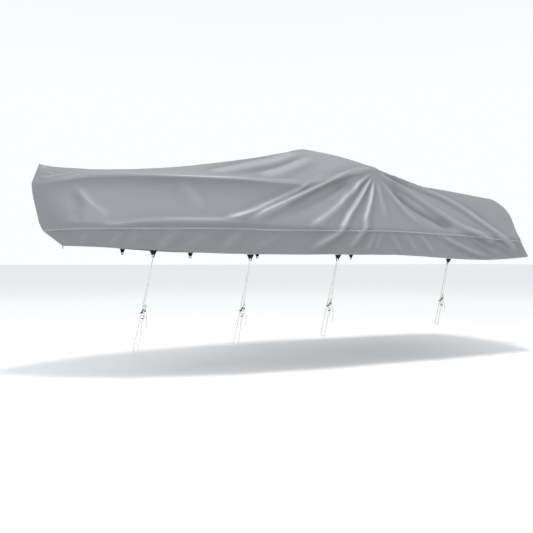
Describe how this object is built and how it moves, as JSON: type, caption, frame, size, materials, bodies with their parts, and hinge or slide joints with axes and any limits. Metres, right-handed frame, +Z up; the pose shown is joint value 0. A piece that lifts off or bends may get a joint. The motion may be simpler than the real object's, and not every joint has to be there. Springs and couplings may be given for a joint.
{
  "type": "boat cover",
  "caption": "Fitted grey fabric cover for a small motor boat, draped with its folds over bow, windscreen and stern, with a hanging skirt, webbing tabs, tie ropes and S-shaped hooks.",
  "frame": {"origin": "underside of the cloth at its highest point, on the centreline over the windscreen, where it is held up", "axes": "+X towards the stern along the centreline, +Y to starboard, +Z up"},
  "size_m": [6.657, 2.4328, 2.6038],
  "materials": {
    "cover_cloth": "coated polyester, slight sheen",
    "tab_webbing": "black woven webbing",
    "tie_rope": "white laid polypropylene",
    "hook_plastic": "black moulded"
  },
  "bodies": {
    "root": {"top_cloth": "cover_cloth", "skirt_port": "cover_cloth", "skirt_starboard": "cover_cloth", "tab_port_1": "tab_webbing", "tab_port_2": "tab_webbing", "tab_port_3": "tab_webbing", "tab_port_4": "tab_webbing", "tab_starboard_1": "tab_webbing", "tab_starboard_2": "tab_webbing", "tab_starboard_3": "tab_webbing", "tab_starboard_4": "tab_webbing", "tab_bow": "tab_webbing", "tie_rope_1": "tie_rope", "tie_rope_2": "tie_rope", "tie_rope_3": "tie_rope", "tie_rope_4": "tie_rope", "tie_hook_1": "hook_plastic", "tie_hook_2": "hook_plastic", "tie_hook_3": "hook_plastic", "tie_hook_4": "hook_plastic"}
  },
  "joints": []
}
